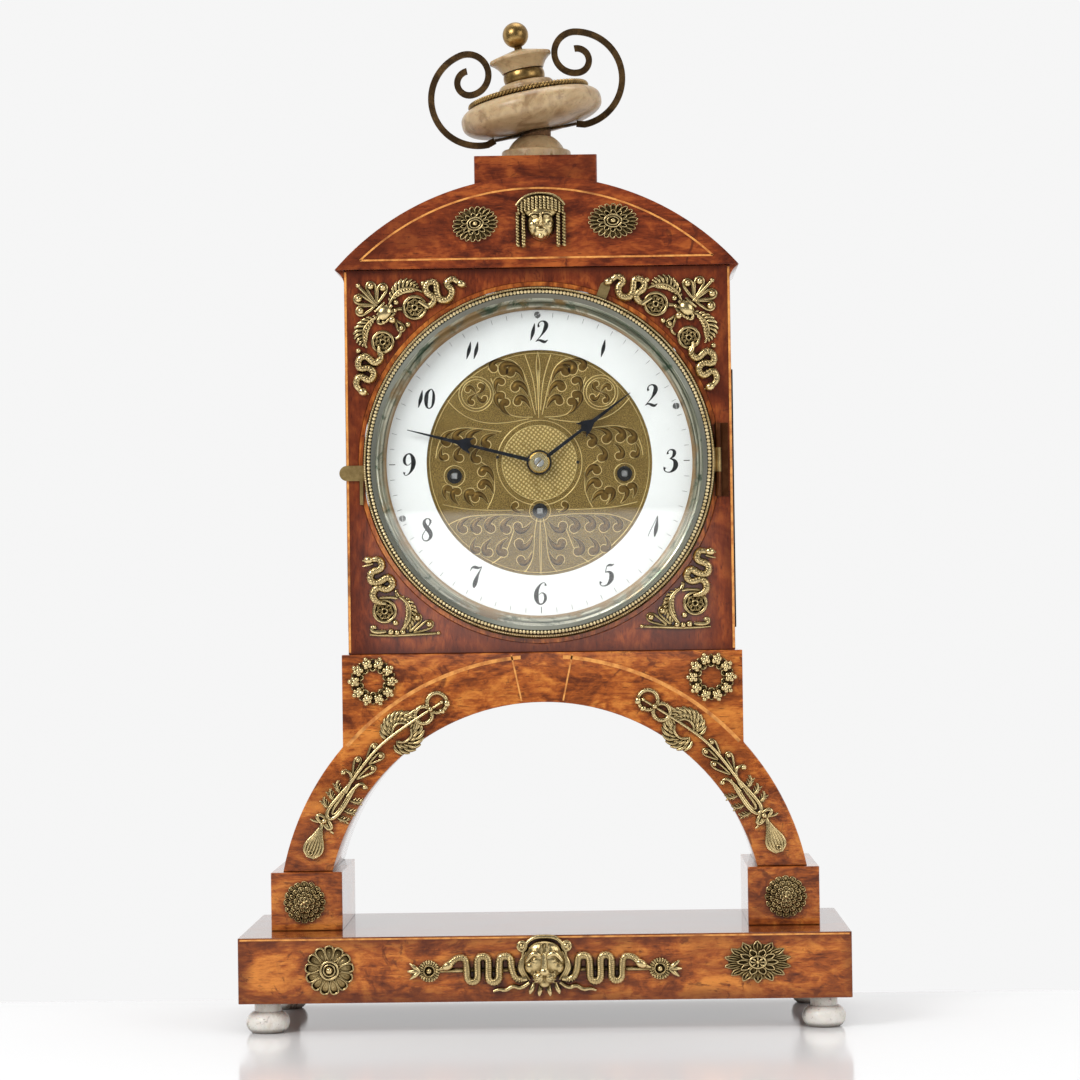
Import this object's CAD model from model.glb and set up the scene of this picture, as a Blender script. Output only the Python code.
"""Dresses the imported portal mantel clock: polished veneer, worn gilt mounts, enamel dial, alabaster vase.

Metres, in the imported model's own frame: +Z up, the dial towards -Y, the feet on Z 0."""

from math import atan2, cos, hypot, pi, radians, sin

import bmesh
import bpy
from mathutils import Matrix, Vector


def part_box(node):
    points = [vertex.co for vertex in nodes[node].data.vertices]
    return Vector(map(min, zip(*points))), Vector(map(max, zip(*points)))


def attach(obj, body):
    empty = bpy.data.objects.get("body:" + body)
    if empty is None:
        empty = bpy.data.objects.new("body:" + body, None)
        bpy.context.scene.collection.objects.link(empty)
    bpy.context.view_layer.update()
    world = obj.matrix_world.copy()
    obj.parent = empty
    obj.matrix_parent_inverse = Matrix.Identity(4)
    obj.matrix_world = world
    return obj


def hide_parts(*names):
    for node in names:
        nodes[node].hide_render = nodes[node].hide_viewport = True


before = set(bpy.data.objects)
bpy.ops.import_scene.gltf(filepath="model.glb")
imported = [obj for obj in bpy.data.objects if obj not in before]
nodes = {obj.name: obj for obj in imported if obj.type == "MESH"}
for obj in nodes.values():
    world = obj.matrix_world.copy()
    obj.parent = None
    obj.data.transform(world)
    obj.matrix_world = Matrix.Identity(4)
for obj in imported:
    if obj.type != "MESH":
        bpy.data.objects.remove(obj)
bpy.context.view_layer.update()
MM = 0.001


# Bun feet: four turned alabaster buns pinned under the base, white with dirt settled in their seams.
# The stone is cloudy, faintly veined and rubbed to a soft polish.
def material(name):
    """New node material; gives it with its tree and its Principled shader."""
    made = bpy.data.materials.new(name)
    made.use_nodes = True
    tree = made.node_tree
    return made, tree, tree.nodes["Principled BSDF"]


def node(tree, kind, settings=None, **sockets):
    """Adds a shader node, sets its properties and sockets, and links the sockets that are given outputs."""
    made = tree.nodes.new("ShaderNode" + kind)
    for name, value in (settings or {}).items():
        setattr(made, name, value)
    for name, value in sockets.items():
        socket = made.inputs[int(name[1:])] if name[1:].isdigit() else made.inputs[name.replace("_", " ")]
        if isinstance(value, bpy.types.NodeSocket):
            tree.links.new(value, socket)
        else:
            socket.default_value = value
    return made


def ramp(tree, value, *stops):
    """Colour ramp over a value, from (place, colour) stops."""
    made = node(tree, "ValToRGB", Fac=value)
    band = made.color_ramp
    while len(band.elements) < len(stops):
        band.elements.new(0.5)
    for element, (place, colour) in zip(band.elements, stops):
        element.position = place
        element.color = (*colour, 1)
    return made.outputs["Color"]


def mixed(tree, share, first, second):
    """Mix of two colours by a share."""
    made = node(tree, "Mix", {"data_type": "RGBA"}, i0=share)
    for socket, value in ((made.inputs[6], first), (made.inputs[7], second)):
        if isinstance(value, bpy.types.NodeSocket):
            tree.links.new(value, socket)
        else:
            socket.default_value = (*value, 1)
    return made.outputs[2]


def rise(tree, value, low, high, most=1.0):
    """Share that climbs smoothly from 0 to its most as a value goes from low to high."""
    settings = {"interpolation_type": "SMOOTHSTEP"}
    return node(tree, "MapRange", settings, Value=value, From_Min=low, From_Max=high, To_Max=most).outputs[0]


def noise(tree, place, scale, detail=4.0, rough=0.55, bend=0.0):
    """Noise value over a place."""
    sockets = {"Vector": place, "Scale": scale, "Detail": detail, "Roughness": rough, "Distortion": bend}
    return node(tree, "TexNoise", **sockets).outputs[0]


def bump(tree, shader, height, strength, depth):
    """Raises the surface by a height value."""
    made = node(tree, "Bump", Strength=strength, Distance=depth, Height=height)
    tree.links.new(made.outputs[0], shader.inputs["Normal"])


def spread(tree, value, low, high, first=0.0, last=1.0):
    """Carries a value evenly from one range to another."""
    sockets = {"Value": value, "From_Min": low, "From_Max": high, "To_Min": first, "To_Max": last}
    return node(tree, "MapRange", **sockets).outputs[0]


def grime(tree, reach, low, high, most=1.0):
    """Share of the dirt that has settled in the hollows of a surface."""
    hollow = node(tree, "AmbientOcclusion", {"samples": 6}, Distance=reach).outputs["AO"]
    return spread(tree, hollow, high, low, 0.0, most)


def finished(tree, shader, colour=None, **sockets):
    """Links a colour to the shader and sets its plain sockets."""
    if colour is not None:
        tree.links.new(colour, shader.inputs["Base Color"])
    for name, value in sockets.items():
        shader.inputs[name.replace("_", " ")].default_value = value


def alabaster(name, pale, shade, stain, stained, most=0.85):
    """Cloudy alabaster with stains and dirty seams."""
    made, tree, shader = material(name)
    place = node(tree, "TexCoord").outputs["Object"]
    cloud = noise(tree, place, 55, 6, 0.6, 1.2)
    colour = ramp(tree, cloud, (0.34, shade), (0.52, pale), (0.7, shade))
    blot = noise(tree, place, 95, 5, 0.65, 0.6)
    colour = mixed(tree, rise(tree, blot, stained, stained + 0.14, most), colour, stain)
    speck = noise(tree, place, 700, 3, 0.6)
    colour = mixed(tree, rise(tree, speck, 0.62, 0.72, 0.5), colour, stain)
    colour = mixed(tree, grime(tree, 0.004, 0.25, 0.75, 0.8), colour, tuple(0.45 * c for c in stain))
    finished(tree, shader, colour, Roughness=0.34, Subsurface_Weight=0.12, Subsurface_Scale=0.003)
    bump(tree, shader, speck, 0.08, 0.0003)
    return made


def dress(name, finish, eased=0.0):
    """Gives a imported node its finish, smooth where it is round, and eases its edges."""
    made = nodes[name]
    made.data.materials.clear()
    made.data.materials.append(finish)
    weld = made.modifiers.new("Weld", "WELD")
    weld.merge_threshold = 0.00001
    if eased:
        edge = made.modifiers.new("Edge", "BEVEL")
        edge.width = eased
        edge.segments = 2
        edge.limit_method = "ANGLE"
        edge.angle_limit = radians(40)
    return made


foot_stone = alabaster("foot stone", (0.82, 0.79, 0.73), (0.68, 0.64, 0.56), (0.12, 0.06, 0.022), 0.54)
dress("bun_feet", foot_stone)


# Woodwork: base, blocks, bridge, case, pediment and finial plinth, softwood boards under burl cherry veneer.
# The veneer has a cloudy figure with dark knots and pores, and is shellacked to a warm gloss.
def worked(tree, operation, *values):
    """Result of one step of arithmetic on values."""
    sockets = {f"i{number}": value for number, value in enumerate(values)}
    return node(tree, "Math", {"operation": operation}, **sockets).outputs[0]


def veneer(name, turn, seed, dark, middle, bright, knots=0.56, contrast=1.0, board_node=None):
    """Shellacked burl veneer: fibres along the board, a cloudy figure, knots, pores and soiled edges."""
    made, tree, shader = material(name)
    place = node(tree, "TexCoord").outputs["Object"]
    board = node(tree, "Mapping", Vector=place, Location=seed, Rotation=turn).outputs[0]
    wide = node(tree, "Mapping", Vector=board, Scale=(0.5, 1, 1)).outputs[0]
    long = node(tree, "Mapping", Vector=board, Scale=(0.14, 1, 1)).outputs[0]
    figure = noise(tree, wide, 34, 9, 0.62, 2.6)
    fibre = noise(tree, long, 620, 5, 0.7, 0.4)
    stripe = noise(tree, wide, 150, 6, 0.65, 1.6)
    knot = noise(tree, board, 62, 7, 0.68, 1.8)
    cloud = noise(tree, board, 16, 5, 0.62, 1.2)
    blend = worked(tree, "MULTIPLY_ADD", stripe, 0.5, figure)
    blend = worked(tree, "MULTIPLY_ADD", fibre, 0.4, blend)
    middle_place, reach = 0.95, 0.24 / contrast
    tone = rise(tree, blend, middle_place - reach, middle_place + reach)
    colour = ramp(tree, tone, (0.0, dark), (0.5, middle), (1.0, bright))
    shadow = tuple(0.5 * d + 0.4 * m for d, m in zip(dark, middle))
    colour = mixed(tree, rise(tree, cloud, 0.5, 0.7, 0.6), colour, shadow)
    colour = mixed(tree, rise(tree, knot, knots, knots + 0.1, 0.75), colour, dark)
    pore = noise(tree, long, 1500, 2, 0.5)
    colour = mixed(tree, rise(tree, pore, 0.6, 0.72, 0.6), colour, tuple(0.5 * c for c in dark))
    colour = mixed(tree, grime(tree, 0.006, 0.2, 0.6, 0.7), colour, tuple(0.25 * c for c in dark))
    if board_node:
        low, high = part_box(board_node)
        away = node(tree, "SeparateXYZ", Vector=place)
        gaps = [worked(tree, "MULTIPLY_ADD", away.outputs[axis], sign, -sign * edge)
                for axis in (0, 2) for edge, sign in ((low[axis], 1), (high[axis], -1))]
        nearest = gaps[0]
        for gap in gaps[1:]:
            nearest = worked(tree, "MINIMUM", nearest, gap)
        nearest = worked(tree, "MULTIPLY_ADD", cloud, 0.016, nearest)
        colour = mixed(tree, rise(tree, nearest, 0.0165, 0.0075, 0.7), colour, dark)
    shellac = {"Coat_Weight": 1.0, "Coat_Roughness": 0.045, "Coat_IOR": 1.38}
    finished(tree, shader, colour, Specular_IOR_Level=0.15, **shellac)
    gloss = spread(tree, figure, 0.3, 0.7, 0.32, 0.46)
    tree.links.new(gloss, shader.inputs["Roughness"])
    bump(tree, shader, blend, 0.05, 0.0004)
    return made


flat, upright = (0, 0, 0), (0, pi / 2, 0)
cherry = ((0.1, 0.019, 0.005), (0.4, 0.096, 0.015), (0.7, 0.245, 0.042))
red_cherry = ((0.07, 0.011, 0.004), (0.22, 0.038, 0.008), (0.42, 0.1, 0.018))
panel_stain = ((0.006, 0.003, 0.002), (0.018, 0.007, 0.004), (0.045, 0.018, 0.009))
base_veneer = veneer("base veneer", flat, (0, 0, 0), *cherry, board_node="base_plinth")
block_veneer = veneer("block veneer", flat, (0.4, 0.1, 0.2), *cherry)
arch_veneer = veneer("arch veneer", flat, (0.9, 0.3, 0.1), *cherry)
front_veneer = veneer("front veneer", upright, (0.2, 0.7, 0.5), *red_cherry, 0.6, 0.75, "case_front")
pediment_veneer = veneer("pediment veneer", flat, (1.3, 0.2, 0.7), *red_cherry)
plinth_veneer = veneer("plinth veneer", flat, (1.9, 0.5, 0.3), *red_cherry)
side_veneer = veneer("side veneer", upright, (2.4, 0.8, 0.9), *cherry)
panel_veneer = veneer("panel veneer", upright, (0.1, 0.9, 0.4), *panel_stain)
reveal_veneer = veneer("reveal veneer", upright, (0.6, 1.7, 0.5), *cherry)
for part, finish, eased in (
        ("base_plinth", base_veneer, 0.0006), ("pedestal_blocks", block_veneer, 0.0006),
        ("arch_bridge", arch_veneer, 0.0004), ("case_carcass", side_veneer, 0.0004),
        ("case_front", front_veneer, 0.0004), ("side_panels", panel_veneer, 0.0003),
        ("pediment", pediment_veneer, 0.0005), ("finial_plinth", plinth_veneer, 0.0006),
        ("back_door_frame", side_veneer, 0.0005)):
    dress(part, finish, eased)


# Stringing: thin slips of pale fruitwood let into the veneer, along the pediment, the case edges,
# the outer line of the arch, the keystone and the upper edge of the base.
def piece(name, bm, finish, body, slot, *stands_for, smooth=True):
    """Makes a finished piece from its mesh, riding on its body."""
    bmesh.ops.recalc_face_normals(bm, faces=bm.faces[:])
    mesh = bpy.data.meshes.new(name)
    bm.to_mesh(mesh)
    bm.free()
    if smooth:
        mesh.shade_smooth()
    mesh.materials.append(finish)
    made = bpy.data.objects.new(name, mesh)
    bpy.context.scene.collection.objects.link(made)
    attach(made, body)
    if stands_for:
        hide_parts(*stands_for)
    return made


def slip(bm, start, end, width, face, proud=0.1):
    """Lays a straight slip on a front face, from one (x, z) to another in millimetres."""
    run, climb = end[0] - start[0], end[1] - start[1]
    middle_x, middle_z = (start[0] + end[0]) / 2, (start[1] + end[1]) / 2
    place = Matrix.Translation((middle_x * MM, (face - proud / 2) * MM, middle_z * MM))
    place = place @ Matrix.Rotation(-atan2(climb, run), 4, "Y")
    size = Matrix.Diagonal((hypot(run, climb) * MM, proud * MM, width * MM, 1))
    bmesh.ops.create_cube(bm, size=1, matrix=place @ size)


def bent_slip(bm, centre, radius, first, last, width, face, proud=0.1):
    """Lays a curved slip on a front face, round an (x, z) centre, from one angle off the top to another."""
    middle = Vector((centre[0] * MM, face * MM, centre[1] * MM))
    flat = Matrix.Translation(middle) @ Matrix.Rotation(radians(first), 4, "Y")
    flat = flat @ Matrix.Translation((0, -proud / 2 * MM, radius * MM)) @ Matrix.Rotation(pi / 2, 4, "Y")
    flat = flat @ Matrix.Diagonal((width * MM, proud * MM, 1, 1))
    end = bmesh.ops.create_grid(bm, x_segments=1, y_segments=1, size=0.5, matrix=flat)["verts"]
    faces = list({f for v in end for f in v.link_faces})
    turn = {"cent": middle, "axis": (0, 1, 0), "angle": radians(last - first), "steps": 48}
    bmesh.ops.spin(bm, geom=end + faces, dvec=(0, 0, 0), use_duplicate=False, **turn)


stringing, tree, shader = material("stringing")
place = node(tree, "TexCoord").outputs["Object"]
colour = ramp(tree, noise(tree, place, 260, 5, 0.6), (0.35, (0.52, 0.17, 0.035)), (0.6, (0.82, 0.36, 0.085)))
colour = mixed(tree, rise(tree, noise(tree, place, 45, 3), 0.58, 0.7, 0.75), colour, (0.17, 0.045, 0.012))
finished(tree, shader, colour, Roughness=0.3)
arch_face, case_face, pediment_face, base_face = -16.5, -14.5, -17.5, -56.5
bm = bmesh.new()
pediment_low, pediment_high, pediment_half, inset = 370.5, 415.4, 99.5, 6
pediment_rise = pediment_high - pediment_low
pediment_radius = (pediment_half**2 + pediment_rise**2) / 2 / pediment_rise
pediment_middle = pediment_high - pediment_radius
line_radius, line_low, line_width = pediment_radius - inset, pediment_low + 4.5, 0.9
line_half = (line_radius**2 - (line_low - pediment_middle) ** 2) ** 0.5
line_turn = atan2(line_half, line_low - pediment_middle) * 180 / pi
bent_slip(bm, (0, pediment_middle), line_radius, -line_turn, line_turn, line_width, pediment_face)
slip(bm, (-line_half, line_low), (line_half, line_low), line_width, pediment_face)
case_line, case_low, case_high = 94.4, 182, 369.5
for side in (-1, 1):
    slip(bm, (side * case_line, case_low), (side * case_line, case_high), 1.1, case_face)
    slip(bm, (side * 15, 180), (side * 10.2, 157.2), 0.8, arch_face)
arch_middle, arch_radius, keystone_turn, shoulder_turn = 49.4, 131, 4.6, 48
for first, last in ((-shoulder_turn, -keystone_turn), (keystone_turn, shoulder_turn)):
    bent_slip(bm, (0, arch_middle), arch_radius - 1.3, first, last, 1.8, arch_face)
base_line, base_half = 45.5, 146
slip(bm, (-base_half, base_line), (base_half, base_line), 0.8, base_face)
piece("stringing", bm, stringing, "case", "plain_wood", smooth=False)


# Vase: turned alabaster foot, bowl and lid, leaning to the left on a bed of brown cement.
# A brass collar joins bowl and lid, a twisted brass rope lies round the bowl, and a brass ball caps the rod.
def metal(name, bright, dull, grimed, rough, worn=0.5, reach=0.002, grain=0.1):
    """Old metal: bright where it is rubbed, dull in patches, with dark dirt in its hollows."""
    made, tree, shader = material(name)
    place = node(tree, "TexCoord").outputs["Object"]
    patch = noise(tree, place, 130, 6, 0.65, 0.5)
    fine = noise(tree, place, 1900, 3, 0.6)
    colour = mixed(tree, rise(tree, patch, worn - 0.12, worn + 0.16), bright, dull)
    colour = mixed(tree, rise(tree, fine, 0.56, 0.74, 0.55), colour, grimed)
    dirt = grime(tree, reach, 0.3, 0.85, 0.92)
    colour = mixed(tree, dirt, colour, grimed)
    finished(tree, shader, colour, Metallic=1)
    roughness = spread(tree, patch, 0.3, 0.7, rough, rough + 0.2)
    tree.links.new(roughness, shader.inputs["Roughness"])
    bump(tree, shader, fine, grain, 0.0002)
    return made


def rope(bm, axis, radius, wire, count, sides=6):
    """Lays a twisted rope as slanting lumps in a ring round a frame's Z axis, in millimetres."""
    place = axis @ Matrix.Translation((radius * MM, 0, 0)) @ Matrix.Rotation(radians(40), 4, "X")
    place = place @ Matrix.Diagonal((wire * MM, 1.5 * wire * MM, 0.62 * wire * MM, 1))
    ball = {"u_segments": sides, "v_segments": max(4, sides - 2), "radius": 1}
    lump = bmesh.ops.create_uvsphere(bm, matrix=place, **ball)["verts"]
    faces = list({f for v in lump for f in v.link_faces})
    around = {"cent": axis.translation, "axis": axis.to_3x3() @ Vector((0, 0, 1)), "steps": count - 1}
    around["angle"] = 2 * pi * (count - 1) / count
    bmesh.ops.spin(bm, geom=lump + faces, dvec=(0, 0, 0), use_duplicate=True, **around)


vase_stone = alabaster("vase stone", (0.52, 0.37, 0.2), (0.35, 0.225, 0.11), (0.17, 0.085, 0.03), 0.5, 0.5)
for part in ("vase_foot", "vase_bowl", "vase_lid"):
    dress(part, vase_stone)
vase_brass = metal("vase brass", (0.44, 0.28, 0.1), (0.22, 0.13, 0.045), (0.04, 0.022, 0.009), 0.24)
dress("vase_collar", vase_brass)
dress("finial_ball", vase_brass)
handle_tones = ((0.2, 0.115, 0.045), (0.07, 0.042, 0.02), (0.02, 0.012, 0.007))
handle_brass = metal("handle brass", *handle_tones, 0.4, 0.42, grain=0.4)
dress("vase_handles", handle_brass, 0.0003)
cement, tree, shader = material("cement")
place = node(tree, "TexCoord").outputs["Object"]
crumb = noise(tree, place, 650, 6, 0.7)
colour = ramp(tree, crumb, (0.3, (0.07, 0.03, 0.012)), (0.7, (0.26, 0.13, 0.05)))
finished(tree, shader, colour, Roughness=0.85)
bump(tree, shader, crumb, 0.6, 0.0008)
dress("vase_cement", cement)
vase_back, vase_root, vase_lean = 23.5, 442, -11
vase_axis = Matrix.Translation((0, vase_back * MM, vase_root * MM))
vase_axis = vase_axis @ Matrix.Rotation(radians(vase_lean), 4, "Y")
bm = bmesh.new()
rope_height, rope_radius, rope_wire = 19.08, 29.4, 1.6
rope(bm, vase_axis @ Matrix.Translation((0, 0, rope_height * MM)), rope_radius, rope_wire, 96, 8)
piece("rope_ring", bm, vase_brass, "case", "gilt_brass", "vase_rope_ring")

# Back door and movement: a glazed wooden door on brass pins, and a brass three-train movement inside.
# Its plates and wheels are lacquered brass gone brown; arbors, hammer and gong are steel.
movement_brass = metal("movement brass", (0.52, 0.33, 0.11), (0.33, 0.2, 0.07), (0.08, 0.05, 0.02), 0.3, 0.55)
steel = metal("steel", (0.62, 0.62, 0.63), (0.4, 0.395, 0.39), (0.09, 0.08, 0.07), 0.28, 0.58)
for part in ("front_plate", "back_plate", "going_barrel", "hour_strike_barrel", "quarter_strike_barrel",
             "cannon_pinion", "minute_wheel", "hour_wheel", "suspension_cock", "dial_plate", "pendulum",
             "centre_arbor", "third_arbor", "escape_arbor", "back_door_latch", "back_door_pins"):
    dress(part, movement_brass)
for part in ("going_winding_arbor", "hour_winding_arbor", "quarter_winding_arbor",
             "pallets", "hammer", "gong"):
    dress(part, steel)


# Dial: a white enamelled chapter ring round an engraved brass centre, screwed to a brass plate in the case.
# The numerals are painted in black by brush, sloping, with thick downstrokes and hair-thin joins.
def strands(bm, lines, height=1.0, level=0.0, closed=False, fine=3, sides=2):
    """Draws tapering strands along smooth lines of (x, z, radius) millimetres, at a level over a face."""
    curve = bpy.data.curves.new("strand", "CURVE")
    curve.dimensions = "3D"
    curve.bevel_depth = MM
    curve.bevel_resolution = sides
    curve.resolution_u = fine
    curve.use_fill_caps = True
    for line in lines:
        spline = curve.splines.new("NURBS")
        spline.points.add(len(line) - 1)
        for point, (x, z, radius) in zip(spline.points, line):
            point.co = (x * MM, 0, z * MM, 1)
            point.radius = radius
        spline.order_u = min(3, len(line))
        spline.use_endpoint_u = not closed
        spline.use_cyclic_u = closed
    holder = bpy.data.objects.new("strand", curve)
    mesh = bpy.data.meshes.new_from_object(holder)
    mesh.transform(Matrix.Translation((0, -level * MM, 0)) @ Matrix.Diagonal((1, height, 1, 1)))
    bm.from_mesh(mesh)
    bpy.data.objects.remove(holder)
    bpy.data.curves.remove(curve)
    bpy.data.meshes.remove(mesh)


def turned(line, angle, x, z, size=1.0):
    """Turns a line clockwise, scales it and moves it to its place."""
    c, s = cos(radians(angle)), sin(radians(angle))
    return [(x + size * (u * c + v * s), z + size * (v * c - u * s), r * size) for u, v, r in line]


def flipped(line):
    """Mirror of a line, left to right."""
    return [(-x, z, r) for x, z, r in line]


dial_height, enamel_face = 274.5, -9.5
enamel, tree, shader = material("enamel")
place = node(tree, "TexCoord").outputs["Object"]
colour = ramp(tree, noise(tree, place, 30, 5, 0.6), (0.35, (0.9, 0.905, 0.91)), (0.65, (0.95, 0.955, 0.96)))
fleck = rise(tree, noise(tree, place, 900, 2, 0.5), 0.72, 0.78, 0.35)
finished(tree, shader, mixed(tree, fleck, colour, (0.45, 0.42, 0.38)), Roughness=0.12)
bump(tree, shader, noise(tree, place, 60, 2), 0.05, 0.0006)
dress("chapter_ring", enamel)

numerals = {
    1: [[(0.75, 4.4, 0.1), (0.5, 2.4, 0.5), (0.15, 0.2, 0.85), (-0.3, -2.0, 0.6), (-0.85, -4.4, 0.1)],
        [(0.75, 4.4, 0.1), (0.0, 2.6, 0.14), (-0.5, 0.4, 0.12)]],
    2: [[(-1.7, 2.5, 0.55), (-2.3, 3.3, 0.35), (-1.7, 5.1, 0.15), (0.3, 5.7, 0.25), (1.9, 4.2, 0.95),
         (1.6, 1.9, 0.95), (0.2, -1.0, 0.35), (-1.7, -3.4, 0.12), (-2.9, -4.8, 0.1)],
        [(-3.0, -4.9, 0.15), (-1.7, -3.9, 0.3), (0.2, -4.8, 0.7), (1.8, -5.4, 0.55), (2.9, -4.1, 0.12)]],
    3: [[(-1.3, 3.4, 0.55), (-1.7, 4.4, 0.2), (-0.4, 5.8, 0.15), (1.6, 5.3, 0.6), (2.0, 3.5, 0.85),
         (1.0, 1.6, 0.35), (-0.4, 1.0, 0.1)],
        [(-0.4, 1.0, 0.1), (1.5, 0.8, 0.4), (2.9, -1.2, 1.1), (2.6, -3.8, 1.0), (0.6, -5.9, 0.3),
         (-1.8, -5.8, 0.15), (-3.0, -4.4, 0.3), (-2.5, -3.3, 0.65)]],
    4: [[(1.7, 5.4, 0.1), (1.6, 2.2, 0.45), (1.2, -1.4, 0.95), (0.75, -4.2, 0.45), (0.6, -5.4, 0.12)],
        [(1.7, 5.4, 0.1), (-0.2, 0.8, 0.13), (-1.9, -2.8, 0.14), (-2.6, -5.0, 0.11)]],
    5: [[(-0.1, 4.4, 0.15), (1.0, 5.2, 0.55), (2.5, 4.9, 0.45), (3.5, 5.6, 0.1)],
        [(0.0, 4.6, 0.16), (-0.6, 1.3, 0.14)],
        [(-0.6, 1.3, 0.12), (0.9, 2.0, 0.3), (2.6, 0.6, 1.0), (2.6, -2.4, 1.05), (0.7, -5.2, 0.35),
         (-1.8, -5.7, 0.13), (-3.1, -4.5, 0.25), (-2.5, -3.3, 0.6)]],
    6: [[(1.9, 3.9, 0.55), (2.1, 4.9, 0.2), (0.9, 5.8, 0.13), (-1.1, 4.2, 0.35), (-2.4, 1.0, 0.95),
         (-2.4, -2.4, 1.05),
         (-1.0, -5.4, 0.4), (0.9, -5.5, 0.2), (2.3, -3.4, 0.65), (2.1, -0.8, 0.6), (0.7, 0.6, 0.15),
         (-0.9, -0.2, 0.1), (-1.9, -1.8, 0.1)]],
    7: [[(-2.7, 3.0, 0.1), (-2.2, 4.8, 0.2), (-0.5, 5.1, 0.75), (1.3, 4.3, 0.5), (3.0, 5.2, 0.1)],
        [(3.0, 5.2, 0.1), (1.5, 2.0, 0.28), (0.3, -1.6, 0.95), (-0.4, -4.4, 0.95), (-0.6, -5.5, 0.3)]],
    8: [[(1.7, 4.2, 0.5), (0.9, 5.7, 0.2), (-0.9, 5.6, 0.25), (-1.8, 3.6, 0.75), (-0.6, 1.4, 1.0),
         (1.5, -0.9, 1.05),
         (2.3, -3.4, 0.75), (0.8, -5.8, 0.25), (-1.4, -5.6, 0.2), (-2.4, -3.4, 0.22), (-1.0, -0.6, 0.13),
         (0.9, 1.8, 0.13), (1.7, 4.2, 0.5)]],
    0: [[(0.5, 5.0, 0.15), (-1.4, 4.0, 0.6), (-2.0, 0.0, 1.0), (-1.6, -4.0, 0.5), (-0.2, -5.1, 0.15),
         (1.4, -4.0, 0.4), (1.9, 0.0, 0.75), (1.6, 4.0, 0.35), (0.5, 5.0, 0.15)]],
}
numerals[9] = [[(-u, -v, r) for u, v, r in line] for line in numerals[6]]
ink, tree, shader = material("ink")
place = node(tree, "TexCoord").outputs["Object"]
colour = ramp(tree, noise(tree, place, 500, 4, 0.6), (0.4, (0.003, 0.003, 0.004)), (0.8, (0.03, 0.03, 0.032)))
finished(tree, shader, colour, Roughness=0.3)
bm = bmesh.new()
numeral_reach, wide_pair, narrow_pair, slope, squat = 64.6, 4.7, 3.6, 0.06, 0.97
strokes = []
for hour in range(1, 13):
    digits = [int(digit) for digit in str(hour)]
    x, z = numeral_reach * sin(hour * pi / 6), dial_height + numeral_reach * cos(hour * pi / 6)
    for number, digit in enumerate(digits):
        shift = (number - (len(digits) - 1) / 2) * (narrow_pair if hour == 11 else wide_pair)
        for line in numerals[digit]:
            strokes.append([(x + shift + u + slope * v, z + squat * v, 1.12 * r + 0.03) for u, v, r in line])
strands(bm, strokes, 0.02, fine=8)
ticks = []
tick_end = 74.2
for minute in range(60):
    angle = minute * pi / 30
    tick_start, bold = (71.2, 0.2) if minute % 15 == 0 else (71.9, 0.09)
    ends = (tick_start, tick_end)
    ticks.append([(reach * sin(angle), dial_height + reach * cos(angle), bold) for reach in ends])
strands(bm, ticks, 0.1)
bmesh.ops.translate(bm, vec=(0, enamel_face * MM, 0), verts=bm.verts[:])
piece("numerals", bm, ink, "case", "enamel")


# Dial screws: three small steel screws that hold the chapter ring near its rim.
# Their heads are flat, with filed slots, and have gone dull.
def slotted(bm, place, radius, slot, lift, segments):
    """Lays the two halves of a slotted screw head over a place, in millimetres."""
    for side in (-1, 1):
        half = place @ Matrix.Translation((0, side * slot / 2 * MM, lift * MM))
        head = {"cap_ends": True, "segments": segments, "radius": radius * MM}
        made = bmesh.ops.create_circle(bm, matrix=half, **head)["verts"]
        edges = list({e for v in made for e in v.link_edges})
        faces = list({f for v in made for f in v.link_faces})
        cut = {"plane_co": half.translation, "plane_no": half.to_3x3() @ Vector((0, side, 0))}
        bmesh.ops.bisect_plane(bm, geom=made + edges + faces, clear_inner=True, **cut)


bm = bmesh.new()
facing = Matrix.Rotation(pi / 2, 4, "X")
screw_reach = 73
for angle in (0, 68.3, 248.6):
    x, z = screw_reach * sin(radians(angle)), dial_height + screw_reach * cos(radians(angle))
    place = Matrix.Translation((x * MM, enamel_face * MM, z * MM)) @ facing
    slotted(bm, place @ Matrix.Rotation(radians(angle + 30), 4, "Z"), 1.5, 0.3, 0.2, 20)
bmesh.ops.solidify(bm, geom=bm.faces[:], thickness=0.25 * MM)
screw_tones = ((0.3, 0.3, 0.3), (0.16, 0.155, 0.15), (0.03, 0.027, 0.024))
screw_steel = metal("screw steel", *screw_tones, 0.3, 0.5, 0.001)
piece("dial_screws", bm, screw_steel, "case", "steel", smooth=False)


# Engraved centre: a brass disc with a stippled ground, cut with fat comma leaves, stems and rings.
# A cross-hatched disc fills the middle; black-rimmed holes show the steel winding squares.
def comma(x, z, lean, size, hand):
    """Line of one engraved leaf: a thin tail and a fat round head curled to one hand."""
    line = ((0, 0, 0.15), (0.1, 2.2, 0.55), (0.7, 4.3, 0.95),
            (2.0, 5.7, 1.3), (3.5, 5.8, 1.6), (4.2, 4.7, 1.75))
    return turned([(hand * a, b, r) for a, b, r in line], lean, x, z, size)


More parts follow.
